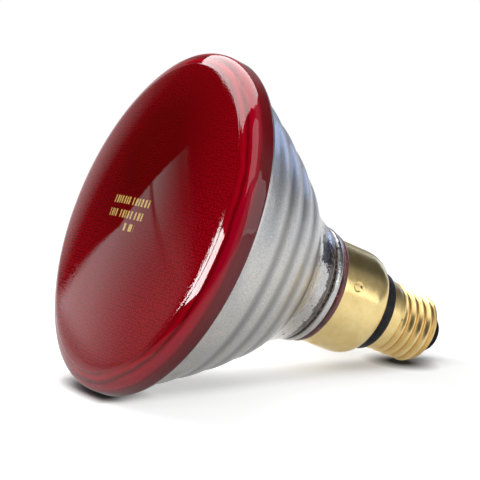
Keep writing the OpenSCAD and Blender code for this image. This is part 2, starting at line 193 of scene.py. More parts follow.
class Nodes:
    """Short words for building a node material."""

    def __init__(self, name):
        self.material = bpy.data.materials.new(name)
        self.material.use_nodes = True
        self.tree = self.material.node_tree
        self.tree.nodes.clear()
        self.out = self.tree.nodes.new("ShaderNodeOutputMaterial")

    def add(self, kind, **settings):
        node = self.tree.nodes.new("ShaderNode" + kind)
        for key, value in settings.items():
            setattr(node, key, value)
        return node

    def link(self, source, target):
        self.tree.links.new(source, target)

    def feed(self, node, name, value):
        """Sets a socket by name or number to a constant or a link."""
        socket = node.inputs[name]
        if isinstance(value, bpy.types.NodeSocket):
            self.link(value, socket)
        else:
            socket.default_value = value

    def math(self, operation, a, b=0.0):
        node = self.add("Math", operation=operation)
        self.feed(node, 0, a)
        self.feed(node, 1, b)
        return node.outputs[0]

    def lamp_point(self):
        """The shaded point in the lamp's own axes, in mm."""
        place = self.add("TexCoord").outputs["Object"]
        turn = self.add("Mapping", vector_type="TEXTURE")
        self.feed(turn, "Vector", place)
        turn.inputs["Location"].default_value = LAMP_ORIGIN
        turn.inputs["Rotation"].default_value = LAMP_EULER
        turn.inputs["Scale"].default_value = (MM, MM, MM)
        return turn.outputs["Vector"]

    def split(self, vector):
        node = self.add("SeparateXYZ")
        self.feed(node, 0, vector)
        return node.outputs

    def radius(self, vector):
        """Distance from the Z axis."""
        x, y, _ = self.split(vector)
        square = self.math("ADD", self.math("MULTIPLY", x, x), self.math("MULTIPLY", y, y))
        return self.math("SQRT", square)

    def distance(self, vector, centre):
        node = self.add("VectorMath", operation="DISTANCE")
        self.feed(node, 0, vector)
        node.inputs[1].default_value = centre
        return node.outputs["Value"]

    def noise(self, vector, scale, detail=3.0, roughness=0.55, distortion=0.0):
        node = self.add("TexNoise")
        self.feed(node, "Vector", vector)
        self.feed(node, "Scale", scale)
        self.feed(node, "Detail", detail)
        self.feed(node, "Roughness", roughness)
        self.feed(node, "Distortion", distortion)
        return node.outputs["Fac"]

    def stretch(self, vector, scale):
        node = self.add("Mapping")
        self.feed(node, "Vector", vector)
        node.inputs["Scale"].default_value = scale
        return node.outputs["Vector"]

    def ramp(self, value, stops):
        """A colour or grey ramp; stops are (position, grey or colour)."""
        node = self.add("ValToRGB")
        self.feed(node, 0, value)
        points = node.color_ramp.elements
        while len(points) < len(stops):
            points.new(0.5)
        for point, (at, colour) in zip(points, stops):
            point.position = at
            point.color = (colour,) * 3 + (1,) if isinstance(colour, (int, float)) else (*colour, 1)
        return node.outputs["Color"]

    def spread(self, value, low, high, to_low, to_high):
        """Maps low..high to to_low..to_high and stays level outside."""
        node = self.add("MapRange")
        for i, v in enumerate((value, low, high, to_low, to_high)):
            self.feed(node, i, v)
        return node.outputs["Result"]

    def mix(self, factor, a, b, blend="MIX"):
        """Blends two colours; a and b are colours or links."""
        node = self.add("Mix", data_type="RGBA", blend_type=blend)
        self.feed(node, "Factor", factor)
        for name, v in (("A", a), ("B", b)):
            socket = next(s for s in node.inputs if s.name == name and s.type == "RGBA")
            if isinstance(v, bpy.types.NodeSocket):
                self.link(v, socket)
            else:
                socket.default_value = (*v, 1)
        return next(s for s in node.outputs if s.type == "RGBA")

    def bump(self, height, strength, distance):
        node = self.add("Bump")
        self.feed(node, "Height", height)
        self.feed(node, "Strength", strength)
        self.feed(node, "Distance", distance)
        return node.outputs["Normal"]

    def surface(self, **sockets):
        """Ends the material in a Principled shader. Socket names are written with underscores."""
        node = self.add("BsdfPrincipled")
        for key, value in sockets.items():
            name = key.replace("_", " ")
            if isinstance(value, tuple) and len(value) == 3:
                value = (*value, 1)
            self.feed(node, name, value)
        self.link(node.outputs[0], self.out.inputs["Surface"])


# ---------------------------------------------------------------- materials

def stipple(n, p, pitch):
    """Slightly irregular pressed dots: 1 on a dot, 0 between them."""
    cell = n.add("TexVoronoi", voronoi_dimensions="2D", feature="F1")
    n.feed(cell, "Vector", p)
    n.feed(cell, "Scale", 1 / pitch)
    n.feed(cell, "Randomness", 0.6)
    return n.spread(cell.outputs["Distance"], 0.0, 0.42, 1.0, 0.0)


def band(n, value, low, high, soft=0.15):
    """1 between two limits, 0 outside."""
    above = n.spread(value, low - soft, low, 0.0, 1.0)
    below = n.spread(value, high, high + soft, 1.0, 0.0)
    return n.math("MULTIPLY", above, below)


def print_marks(n, x, y):
    """Three short rows of plain upright bars where such lamps carry their rating.
    A group is (top, bottom, left, right, pitch of its bars) in mm. A slower beat varies the bars."""
    rows = [(-4.3, -1.8, -11.6, 0.6, 1.9), (-4.3, -1.8, 2.6, 14.8, 2.2), (0.5, 3.0, -12.0, -5.4, 1.7)]
    rows += [(0.5, 3.0, -3.6, 5.4, 2.0), (0.5, 3.0, 7.4, 13.6, 2.3), (4.8, 7.2, 2.4, 9.6, 3.6)]
    slower = 1.43
    total = None
    for top, bottom, left, right, pitch in rows:
        along = n.math("SUBTRACT", x, left)
        beat = n.math("FRACT", n.math("DIVIDE", along, pitch))
        slow = n.math("FRACT", n.math("DIVIDE", along, pitch * slower))
        wide_bars = n.spread(beat, 0.34, 0.42, 1.0, 0.0)
        thin_bars = n.spread(slow, 0.12, 0.18, 1.0, 0.0)
        bars = n.math("MAXIMUM", wide_bars, thin_bars)
        area = n.math("MULTIPLY", band(n, y, top, bottom), band(n, x, left, right))
        row = n.math("MULTIPLY", area, bars)
        total = n.math("ADD", total, row) if total else row
    return total


def red_window():
    """The window: deep red glass over a fine pressed stipple, with a worn gold print, and painted light
    and shade in its red.
    """
    n = Nodes("red_glass_window")
    p = n.lamp_point()
    x, y, _ = n.split(p)
    dots = stipple(n, p, 1.0)
    # Painted shade and light: the red is painted darkest at the heart and lighter outwards; the dots are
    # painted in the lit red, the ground between them in the shaded one.
    painted_brightening = n.spread(n.distance(p, WINDOW_PAINTED_SHADE_HEART), 14.0, 62.0, 0.0, 1.0)
    deep = n.mix(painted_brightening, (0.120, 0.0, 0.0006), (0.25, 0.0, 0.0035))
    lit = n.mix(painted_brightening, (0.150, 0.0, 0.0010), (0.56, 0.002, 0.0200))
    grain = n.noise(p, 1.1, 2.0, 0.6)
    relief = n.math("ADD", grain, n.math("MULTIPLY", dots, 0.35))
    relief = n.math("MULTIPLY", relief, n.spread(n.distance(p, WINDOW_CALM), 20.0, 62.0, 0.10, 1.3))
    worn = n.spread(n.noise(p, 1.4, 3.0, 0.7), 0.36, 0.46, 0.2, 1.0)
    gold = n.math("MULTIPLY", print_marks(n, x, y), worn)
    n.surface(
        Base_Color=n.mix(gold, n.mix(dots, deep, lit), (0.80, 0.56, 0.17)),
        Roughness=0.6,
        Specular_IOR_Level=0.0,
        Normal=n.bump(dots, 0.3, 0.00015),
        Coat_Weight=1.0,
        Coat_Roughness=0.015,
        Coat_IOR=1.5,
        Coat_Normal=n.bump(relief, 0.25, 0.0001),
    )
    return n.material


def red_rim():
    """The polished rim: red glass that lets half the light through, with painted light and shade in rings
    along its depth: bright and dark streaks, darker towards its side.
    """
    n = Nodes("red_glass_rim")
    p = n.lamp_point()
    _, _, s = n.split(p)
    cloud = n.noise(p, 0.06, 3.0)
    along = n.math("ADD", s, n.math("MULTIPLY", n.math("SUBTRACT", cloud, 0.5), 1.2))
    depth = n.spread(along, 0.0, RIM_DEPTH, 0.0, 1.0)
    # Painted light and shade: streaks of light in the glass and a darker side, as colours along the rim's
    # depth.
    painted_light_bands = [(0.02, (0.44, 0.001, 0.008)), (0.09, (0.74, 0.001, 0.020)), (0.15, (0.26, 0.001, 0.004))]
    painted_light_bands += [(0.22, (0.66, 0.001, 0.026)), (0.42, (0.54, 0.002, 0.024)), (0.54, (0.25, 0.003, 0.010))]
    painted_light_bands += [(0.9, (0.19, 0.004, 0.010))]
    n.surface(
        Base_Color=n.ramp(depth, painted_light_bands),
        Roughness=0.03,
        IOR=1.5,
        Transmission_Weight=0.5,
    )
    return n.material


def silver_tone(n, p, y):
    """The coating's cloudy grey with a fine grain, and a painted reflection tint: cool above and warm
    below.
    """
    cloud = n.noise(p, 0.07, 3.0)
    fine = n.noise(p, 1.7, 2.0, 0.8)
    silver = n.ramp(cloud, [(0.3, (0.57, 0.58, 0.61)), (0.7, (0.74, 0.73, 0.71))])
    silver = n.mix(1.0, silver, n.ramp(fine, [(0.32, 0.66), (0.68, 1.0)]), "MULTIPLY")
    # Painted reflection: cooler on the bowl's upper side, warmer on its lower side.
    painted_reflection_tint = n.mix(n.spread(y, -35.0, 40.0, 0.0, 1.0), (0.95, 0.97, 1.0), (1.0, 0.96, 0.90))
    return n.mix(1.0, silver, painted_reflection_tint, "MULTIPLY")


def painted_groove_shade(n, s):
    """Painted shade: how much darker the bowl is painted between its rings, and in the last groove before
    the neck.
    """
    phase = n.math("MULTIPLY", n.math("SUBTRACT", s, NECK_S), 2 * math.pi / RING_PITCH)
    groove = n.spread(n.math("COSINE", phase), -0.5, 1.0, 0.0, 0.70)
    groove = n.math("MULTIPLY", groove, n.spread(s, 20.0, 24.0, 0.0, 1.0))
    groove = n.math("MULTIPLY", groove, n.spread(s, NECK_S + 0.8, NECK_S + 1.6, 1.0, 0.0))
    last = n.math("MULTIPLY", band(n, s, NECK_S - 0.3, NECK_S + 0.5, 0.3), 0.85)
    return n.math("MAXIMUM", groove, last)


def painted_neck_reflection(n, p, s, ragged):
    """1 on the painted dark reflection on the neck, ragged, with a small spot in its middle where the
    silver shows.
    """
    reflection_reach = n.distance(n.stretch(p, (1.0, 1.0, REFLECTION_SHORTEN)), NECK_REFLECTION_MIDDLE)
    near = n.spread(reflection_reach, 2.5, 7.5, 0.36, 0.0)
    near = n.math("SUBTRACT", near, n.spread(reflection_reach, 0.4, 1.8, 0.20, 0.0))
    neck_reflection_mask = n.spread(n.math("ADD", ragged, near), 0.64, 0.67, 0.0, 1.0)
    return n.math("MULTIPLY", neck_reflection_mask, n.spread(s, 53.6, 54.4, 0.0, 1.0))


def silvered_glass():
    """Satin ringed glass over a bright coating, which ends raggedly on the polished neck, with painted
    shade and a painted dark reflection.
    """
    n = Nodes("silvered_glass")
    p = n.lamp_point()
    _, y, s = n.split(p)
    grain = n.noise(p, 1.3, 3.0, 0.7)
    ragged = n.noise(p, 0.30, 4.0, 0.65, 0.6)
    neck = n.spread(s, NECK_S + 0.4, NECK_S + 1.4, 0.0, 1.0)
    silver = silver_tone(n, p, y)
    # Painted shade in the grooves, towards dark grey.
    silver = n.mix(painted_groove_shade(n, s), silver, (0.14, 0.135, 0.13))
    # Painted dark reflection on the neck: near black, with less metal, shine and coat.
    neck_reflection_mask = painted_neck_reflection(n, p, s, ragged)
    edge = n.math("ADD", s, n.math("MULTIPLY", ragged, 5.0))
    bare = n.math("MULTIPLY", n.spread(edge, 66.3, 66.8, 0.0, 1.0), n.spread(s, 68.3, 68.9, 1.0, 0.0))
    # Where the coating stops, the clear glass is painted dark brown: painted shade of the dark inside,
    # over the brown of the cement behind it.
    bare_neck_dark = n.ramp(n.noise(p, 0.9, 3.0, 0.7), [(0.45, (0.022, 0.016, 0.014)), (0.7, (0.20, 0.14, 0.11))])
    colour = n.mix(bare, n.mix(neck_reflection_mask, silver, (0.004, 0.005, 0.020)), bare_neck_dark)
    rough = n.mix(neck, n.spread(grain, 0.2, 0.8, 0.27, 0.37), (0.09, 0.09, 0.09))
    heights = n.mix(neck, grain, n.math("MULTIPLY", ragged, 3.0))
    n.surface(
        Base_Color=colour,
        Metallic=n.spread(n.math("MAXIMUM", bare, neck_reflection_mask), 0.0, 1.0, 1.0, 0.2),
        Roughness=rough,
        Specular_IOR_Level=n.spread(neck_reflection_mask, 0.0, 1.0, 0.5, 0.1),
        Normal=n.bump(heights, 0.6, 0.0002),
        Coat_Weight=n.spread(neck_reflection_mask, 0.0, 1.0, 0.5, 0.05),
        Coat_Roughness=0.05,
        Coat_IOR=1.5,
    )
    return n.material


def brass(name, shaded_roots=False):
    """Bright drawn brass with fine scuffs; in the thread, the grooves are rougher and painted darker as
    shade.
    """
    n = Nodes(name)
    p = n.lamp_point()
    cloud = n.noise(p, 0.22, 4.0, 0.6)
    scuff = n.noise(n.stretch(p, (0.9, 0.9, 4.0)), 1.0, 4.0, 0.65)
    tones = [(0.25, (0.82, 0.60, 0.24)), (0.6, (0.91, 0.72, 0.34)), (0.85, (0.94, 0.78, 0.44))]
    colour = n.ramp(cloud, tones)
    if shaded_roots:
        # Painted shade: the thread's grooves are painted darker towards their bottom.
        depth = n.spread(n.radius(p), ROOT_R, CREST_R - 0.25, 1.0, 0.0)
        colour = n.mix(depth, colour, (0.72, 0.46, 0.16))
    rough = n.math("ADD", 0.24 if shaded_roots else 0.13, n.math("MULTIPLY", scuff, 0.15))
    normal = n.bump(n.math("ADD", cloud, n.math("MULTIPLY", scuff, 0.15)), 0.25, 0.0003)
    n.surface(Base_Color=colour, Metallic=1.0, Roughness=rough, Normal=normal)
    return n.material


def black_insulation(name, rough, coat, shine):
    """Black moulding or glass with a fine grain; coat and shine set its gloss."""
    n = Nodes(name)
    p = n.lamp_point()
    grain = n.noise(p, 3.0, 3.0)
    colour = n.ramp(n.noise(p, 0.5), [(0.3, (0.010, 0.010, 0.012)), (0.7, (0.022, 0.022, 0.026))])
    n.surface(
        Base_Color=colour,
        Roughness=n.math("ADD", rough, n.math("MULTIPLY", grain, 0.12)),
        Specular_IOR_Level=shine,
        Normal=n.bump(grain, 0.3, 0.00008),
        Coat_Weight=coat,
        Coat_Roughness=0.12,
    )
    return n.material


def plain_metal(name, dark, light, rough, scale=1.2):
    """A dull or bright metal with clouded colour and roughness."""
    n = Nodes(name)
    p = n.lamp_point()
    cloud = n.noise(p, scale, 4.0, 0.6)
    colour = n.ramp(cloud, [(0.3, dark), (0.7, light)])
    n.surface(
        Base_Color=colour,
        Metallic=1.0,
        Roughness=n.math("ADD", rough, n.math("MULTIPLY", cloud, 0.2)),
        Normal=n.bump(cloud, 0.3, 0.0001),
    )
    return n.material


def mirror_metal():
    """The bright coating inside the bowl, faintly hazy."""
    n = Nodes("mirror_metal")
    p = n.lamp_point()
    haze = n.noise(p, 0.1, 3.0)
    n.surface(
        Base_Color=n.ramp(haze, [(0.3, (0.80, 0.81, 0.82)), (0.7, (0.88, 0.88, 0.89))]),
        Metallic=1.0,
        Roughness=n.math("ADD", 0.12, n.math("MULTIPLY", haze, 0.08)),
    )
    return n.material


def clear_glass():
    """Clear glass with a faint ripple."""
    n = Nodes("clear_glass")
    p = n.lamp_point()
    ripple = n.noise(p, 0.8, 2.0)
    n.surface(
        Base_Color=(0.95, 0.97, 0.97),
        Roughness=n.math("MULTIPLY", ripple, 0.06),
        IOR=1.48,
        Transmission_Weight=1.0,
        Normal=n.bump(ripple, 0.2, 0.0001),
    )
    return n.material


def cement():
    """Reddish-brown capping cement with a glossy skin, a few bubbles in it."""
    n = Nodes("capping_cement")
    p = n.lamp_point()
    cloud = n.noise(p, 0.35, 4.0, 0.6)
    spots = n.spread(n.noise(p, 0.9, 1.0), 0.68, 0.74, 0.0, 1.0)
    tones = [(0.3, (0.03, 0.006, 0.007)), (0.55, (0.11, 0.015, 0.018)), (0.8, (0.22, 0.04, 0.04))]
    colour = n.ramp(cloud, tones)
    n.surface(
        Base_Color=n.mix(spots, colour, (0.42, 0.20, 0.17)),
        Roughness=0.4,
        Normal=n.bump(cloud, 0.5, 0.0006),
        Coat_Weight=0.6,
        Coat_Roughness=0.06,
        Coat_IOR=1.5,
    )
    return n.material


RED_WINDOW = red_window()
RED_RIM = red_rim()
SILVERED = silvered_glass()
SKIRT_BRASS = brass("skirt_brass")
SHELL_BRASS = brass("shell_brass", shaded_roots=True)
RING_BLACK = black_insulation("black_insulation", 0.32, 0.03, 0.1)
GLASS_BLACK = black_insulation("black_glass", 0.25, 0.0, 0.0)
MIRROR = mirror_metal()
CLEAR = clear_glass()
CEMENT = cement()
FERRULE = plain_metal("ferrule_metal", (0.20, 0.19, 0.18), (0.38, 0.37, 0.35), 0.35)
NICKEL = plain_metal("nickel", (0.50, 0.48, 0.44), (0.66, 0.64, 0.60), 0.2)
BRAZING = plain_metal("brazing_metal", (0.45, 0.24, 0.12), (0.78, 0.50, 0.28), 0.3)
TUNGSTEN = plain_metal("tungsten", (0.12, 0.12, 0.13), (0.28, 0.28, 0.30), 0.35, 3.0)
MOLYBDENUM = plain_metal("molybdenum", (0.30, 0.31, 0.33), (0.44, 0.45, 0.47), 0.3)
CONTACT_BRASS = plain_metal("contact_brass", (0.52, 0.40, 0.22), (0.78, 0.66, 0.42), 0.25, 0.8)
SOLDER = plain_metal("solder", (0.42, 0.42, 0.42), (0.70, 0.70, 0.70), 0.3, 0.9)
COPPER = plain_metal("wire_metal", (0.55, 0.30, 0.18), (0.80, 0.50, 0.34), 0.25, 2.0)
FUSE = plain_metal("fuse_metal", (0.50, 0.50, 0.52), (0.72, 0.72, 0.74), 0.25, 2.0)


# ---------------------------------------------------------------- pieces

def dome_s(r, radius=DOME_R):
    """Station of the window's dome at radius r, or of a smaller sphere with the same centre."""
    return DOME_R - DOME_H - math.sqrt(radius ** 2 - r ** 2)


def front_lens():
    """Domed window inside a deep rounded rim."""
    wall_r, inner_edge = RIM_R - 4, WINDOW_R - 2
    outer_steps, inner_steps = 80, 50
    window = []
    for i in range(outer_steps + 1):
        r = WINDOW_R * i / outer_steps
        window.append((r, dome_s(r) + SHOULDER_DROP * max(0.0, r - SHOULDER_R) ** 2))
    step = [(WINDOW_R + 0.12, 0.18), (WINDOW_R + 0.24, 0.25)]
    rim = bend((WINDOW_R + 0.36, 0.30), (57.5, 0.84), (59.2, 1.92), 12)
    rim += bend((59.2, 1.92), (60.75, 2.90), (RIM_R, 5.2), 18)[1:]
    wall = [(RIM_R, 6.5), (RIM_R, 8.0)] + bend((RIM_R, 9.0), (RIM_R, RIM_DEPTH), (60.1, RIM_DEPTH), 6)
    inside = [(wall_r, RIM_DEPTH), (wall_r, 8.5)]
    corner = (inner_edge, dome_s(inner_edge, DOME_R - LENS_T))
    inside += bend((wall_r, 6.5), (wall_r, LENS_T), corner, 10)
    for i in range(inner_steps - 1, -1, -1):
        r = inner_edge * i / inner_steps
        inside.append((r, dome_s(r, DOME_R - LENS_T)))

    def zone(r, s):
        """0 on the window's outer face, 1 on the rim and inside."""
        return 0 if r < WINDOW_R and s < dome_s(r) + 1.5 else 1

    piece = revolve("lens_glass", window + step + rim + wall + inside, TURNS,
                    [RED_WINDOW, RED_RIM], zone=zone)
    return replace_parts(piece, "front_lens")


def bowl_r(s):
    """Radius of the bowl's paraboloid at a station, without its rings."""
    return math.sqrt(BOWL_R ** 2 / (VERTEX_S - RIM_DEPTH) * (VERTEX_S - s))


def reflector_bowl():
    """Ringed paraboloid, smooth neck and bead, and the seat of the skirt."""
    first = NECK_S - RING_COUNT * RING_PITCH
    outside = [(MOUTH_R, RIM_DEPTH), (MOUTH_R, 10.5)]
    outside += bend((MOUTH_R, 10.6), (58.6, 10.9), (bowl_r(13.0), 13.0), 8)
    outside += [(bowl_r(s), s) for s in (13.8, 14.6, 15.4)]
    per_ring = 18
    for i in range(RING_COUNT * per_ring):
        s = first + RING_PITCH * i / per_ring
        wave = (1 - math.cos(2 * math.pi * i / per_ring)) / 2
        outside.append((bowl_r(s) + RING_H * wave ** 0.75, s))
    outside += bend((bowl_r(NECK_S), NECK_S), (25.5, 58.25), (22.5, 66.4), 24)
    outside += bend((22.35, 66.8), (21.2, 67.0), (21.2, 67.8), 5)[1:]
    outside += arc((20.7, 69.6), 1.1, 1.7, -75, 62, 14)
    outside += [(20.6, SEAT_S), (SEAT_R, SEAT_S), (SEAT_R, BASE_S - 1), (SEAT_R - 1, BASE_S)]
    outside += [(BASE_R, BASE_S), (BASE_R, SEAT_S - 0.1), (0, SEAT_S - 0.1)]
    steps = 50
    inside = []
    for i in range(steps + 1):
        r = HOLLOW_R * i / steps
        inside.append((r, HOLLOW_S - r ** 2 / HOLLOW_CURVE))
    piece = revolve("bowl_glass", outside + inside, TURNS, [SILVERED], sharp=28)
    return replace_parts(piece, "reflector_bowl")


def dimple(r, s, a):
    """Punched dents in the skirt: how far a point is pushed in."""
    push = 0.0
    for i in range(DIMPLE_COUNT):
        middle = math.radians(DIMPLE_TURN) + 2 * math.pi * i / DIMPLE_COUNT
        turn = (a - middle + math.pi) % (2 * math.pi) - math.pi
        far = math.hypot(turn * r, s - DIMPLE_S)
        push = max(push, DIMPLE_DEPTH * (1 - (far / DIMPLE_SIZE) ** 2))
    return push


def skirt():
    """Drawn skirt: plain edge, cylinder with dimples, rounded shoulder and end flange."""
    outer = arc((SKIRT_R - 0.2, SKIRT_S + 0.2), 0.2, 0.2, -90, 0, 5)
    outer += [(SKIRT_R, SKIRT_S + s) for s in (0.6, 1.2, 1.9, 2.6, 3.3)]
    outer += [(SKIRT_R, DIMPLE_S + 0.2 * i) for i in range(-11, 12)]
    outer += [(SKIRT_R, s) for s in (83.0, 84.5, 86.5, 88.0)]
    outer += bend((SKIRT_R, 89.0), (SKIRT_R, 94.8), (15.6, SKIRT_END_S), 18)
    inner = [(FLANGE_R, SKIRT_END_S), (FLANGE_R, FLANGE_S)]
    inner += bend((15.4, FLANGE_S), (SKIRT_BORE_R, 94.3), (SKIRT_BORE_R, 89.0), 10)
    inner += [(SKIRT_BORE_R, 84.0), (SKIRT_BORE_R, SKIRT_S)]

    def shape(r, s, a):
        if r > SKIRT_R - 0.1 and abs(s - DIMPLE_S) < 2.4:
            return r - dimple(r, s, a), s
        return r, s

    piece = revolve("skirt_brass", outer + inner, SKIRT_TURNS, [SKIRT_BRASS], shape=shape)
    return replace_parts(piece, "skirt")


def cement_fillet():
    """Capping cement with the glossy, slightly uneven fillet that shows ahead of the skirt."""
    fillet = [(SEAT_R, SEAT_S), (SKIRT_R + 0.4, SEAT_S)]
    fillet += arc((SKIRT_R + 0.3, SEAT_S + 1.4), 1.1, 1.35, -80, 80, 16)
    inside = [(SKIRT_R - 0.05, SKIRT_S), (SKIRT_BORE_R, SKIRT_S), (SKIRT_BORE_R, 82.0), (SEAT_R, 82.6)]

    def shape(r, s, a):
        if r < SKIRT_R + 0.2:
            return r, s
        swell = 0.10 * math.sin(3 * a + 1) + 0.07 * math.sin(7 * a) + 0.05 * math.sin(12 * a + 2)
        return r + swell * (r - SKIRT_R) / 1.4, s

    piece = revolve("basing_cement", fillet + inside, TURNS, [CEMENT], shape=shape)
    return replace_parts(piece, "cement_ring")


def insulating_ring():
    """Black ring between skirt and shell, with a spigot into each."""
    outer = [(FLANGE_R, SKIRT_END_S), (15.0, SKIRT_END_S)]
    outer += bend((15.1, 96.5), (15.4, 98.5), (14.9, 100.6), 8)
    outer += bend((14.8, 100.8), (14.6, COLLAR_S), (14.0, COLLAR_S), 4)
    inner = [(SPIGOT_R, COLLAR_S), (SPIGOT_R, RING_BACK_S), (LEAD_BORE_R, RING_BACK_S)]
    inner += [(LEAD_BORE_R, RING_FRONT_S), (SPIGOT_R, RING_FRONT_S)]
    inner += [(SPIGOT_R, FLANGE_S), (FLANGE_R, FLANGE_S)]
    piece = revolve("ring_insulation", outer + inner, CAP_TURNS, [RING_BLACK])
    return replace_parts(piece, "insulating_ring")


def thread_r(s, a):
    """Radius of the shell: plain start, knuckle thread, closing curve."""
    close_s = SHELL_END_S - 3.2
    crest_s = close_s - 0.4
    fade = smooth_step((s - THREAD_S) / THREAD_PITCH) * smooth_step((SHELL_END_S - s) / 2.6)
    wave = (1 - math.cos(2 * math.pi * (s - crest_s) / THREAD_PITCH - (a - math.pi / 2))) / 2
    closing = max(0.0, (s - close_s) / (SHELL_END_S - close_s)) ** 2
    return CREST_R - (CREST_R - ROOT_R) * fade * wave ** 0.8 - (CREST_R - CLOSED_R) * closing


def screw_shell():
    """Thin shell: plain collar, then the rolled thread that eases in and closes at the end."""
    rows, lead, wall = 120, 0.4, 0.4
    stations = [THREAD_S - lead + (SHELL_END_S - THREAD_S + lead) * i / rows for i in range(rows + 1)]
    start = [(COLLAR_R - 0.4, COLLAR_S), (COLLAR_R - 0.15, COLLAR_S), (COLLAR_R, COLLAR_S + 0.15)]
    start += [(COLLAR_R, COLLAR_S + t) for t in (1.0, 2.0, 3.0)]
    outer = start + [(CREST_R, s) for s in stations]
    inner = [(CREST_R - wall, s) for s in reversed(stations[::4])]

    def shape(r, s, a):
        if s < THREAD_S - lead:
            return r, s
        blend = smooth_step((s - THREAD_S + lead) / 1.2)
        base = COLLAR_R + (thread_r(s, a) - COLLAR_R) * blend
        return base - (CREST_R - r), s

    piece = revolve("shell_brass", outer + inner, CAP_TURNS, [SHELL_BRASS],
                    shape=shape, sharp=50)
    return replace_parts(piece, "screw_shell")


def end_insulator():
    """Black glass plug that closes the shell and rises in a cone to the contact."""
    outline = [(0, PLUG_S), (PLUG_R, PLUG_S), (PLUG_R, 121.2), (END_R, 123.0), (END_R, SHELL_END_S)]
    outline += bend((END_R, 124.4), (9.7, 125.0), (9.3, 125.5), 6)[1:]
    outline += bend((6.4, 129.2), (6.1, 129.6), (5.7, INSULATOR_S), 4) + [(0, INSULATOR_S)]
    piece = revolve("insulator_glass", outline, CAP_TURNS, [GLASS_BLACK])
    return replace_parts(piece, "end_insulator")


def contact_plate():
    """Round brass eyelet, sunk a little into the end glass."""
    plate_r, sunk = 4.9, 0.3
    outline = [(0, INSULATOR_S - sunk), (plate_r, INSULATOR_S - sunk), (plate_r, INSULATOR_S + 0.25)]
    outline += bend((4.85, INSULATOR_S + 0.45), (4.7, PLATE_S), (4.2, PLATE_S), 5) + [(0, PLATE_S)]
    piece = revolve("eyelet_brass", outline, CONTACT_TURNS, [CONTACT_BRASS])
    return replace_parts(piece, "contact_plate")


def contact_solder():
    """Flat drop of solder in the middle of the eyelet, not quite round."""
    outline = [(0, PLATE_S - 0.05)] + bend((3.4, PLATE_S), (3.2, CONTACT_S - 0.1), (1.8, CONTACT_S), 9)
    outline += [(0, CONTACT_S)]

    def shape(r, s, a):
        return r * (1 + 0.03 * math.sin(2 * a) + 0.02 * math.sin(5 * a + 1)), s

    piece = revolve("contact_solder_drop", outline, CONTACT_TURNS, [SOLDER], shape=shape)
    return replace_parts(piece, "contact_solder")


def finish_cad_nodes():
    """Materials for the CAD nodes whose own shape is kept."""
    kept = {
        "mirror_coating": MIRROR, "ferrule_left": FERRULE, "ferrule_right": FERRULE,
        "lead_post_left": NICKEL, "lead_post_right": NICKEL, "post_brazing": BRAZING,
        "exhaust_tube": CLEAR, "filament": TUNGSTEN, "filament_supports": MOLYBDENUM,
        "support_bead": CLEAR, "fuse_wire": FUSE, "fuse_sleeve": CLEAR,
        "centre_wire": COPPER, "shell_wire": COPPER, "shell_solder": SOLDER,
    }
    for name, material in kept.items():
        node = frame["nodes"][name]
        if not node.material_slots:
            node.data.materials.append(material)
        for slot in node.material_slots:
            slot.material = material


front_lens()
reflector_bowl()
skirt()
cement_fillet()
insulating_ring()
screw_shell()
end_insulator()
contact_plate()
contact_solder()
finish_cad_nodes()


# ---------------------------------------------------------------- studio

LAMP_MIDDLE = Vector((0, 0, 0.05))   # what the lights face, in metres of the row frame
ROOM_LEVEL = 0.31                    # brightness of the grey room
# Dark parts of the room: azimuth, elevation, cosines where the dark begins and is full, what is left
DARK_LOBES = [(-165, 20, 0.09, 0.34, 0.04), (-6, 34, 0.86, 0.97, 0.25)]
VIEW_AZIMUTH, VIEW_ELEVATION, VIEW_DISTANCE = 180 - 60.96, 6.92, 0.575
SENSOR_WIDTH, LENS_LENGTH = 36, 124.3


def direction(azimuth, elevation):
    """Unit vector; azimuth 0 is +Y and grows towards +X."""
    a, e = math.radians(azimuth), math.radians(elevation)
    return Vector((math.sin(a) * math.cos(e), math.cos(a) * math.cos(e), math.sin(e)))


def facing(away):
    """Axes of a sheet that faces the lamp from the direction away."""
    across = away.cross(Vector((0, 0, 1))).normalized()
    return Matrix((across, across.cross(away), away)).transposed().to_4x4()


def panel(name, azimuth, elevation, distance, size, glow, tint=(1, 1, 1)):
    """A soft panel light facing the lamp; glow is its brightness as a white surface would show it."""
    light = bpy.data.lights.new(name, "AREA")
    light.shape = "RECTANGLE"
    light.size, light.size_y = size
    light.energy = math.pi * size[0] * size[1] * glow
    light.color = tint
    lamp = bpy.data.objects.new(name, light)
    lamp.visible_camera = False
    away = direction(azimuth, elevation)
    lamp.location = LAMP_MIDDLE + away * distance
    lamp.rotation_mode = "QUATERNION"
    lamp.rotation_quaternion = (-away).to_track_quat("-Z", "Y")
    bpy.context.scene.collection.objects.link(lamp)
    return lamp


def glowing_sheet(name, outline, place, strength):
    """A flat many-sided soft source; strength(n, u, v) gives its brightness over its own plane."""
    mesh = bpy.data.meshes.new(name)
    mesh.from_pydata([(u, v, 0) for u, v in outline], [], [tuple(range(len(outline)))])
    n = Nodes(name)
    u, v, _ = n.split(n.add("TexCoord").outputs["Object"])
    glow = n.add("Emission")
    n.feed(glow, "Strength", strength(n, u, v))
    n.link(glow.outputs[0], n.out.inputs["Surface"])
    mesh.materials.append(n.material)
    sheet = bpy.data.objects.new(name, mesh)
    sheet.matrix_world = place
    sheet.visible_camera = False
    bpy.context.scene.collection.objects.link(sheet)


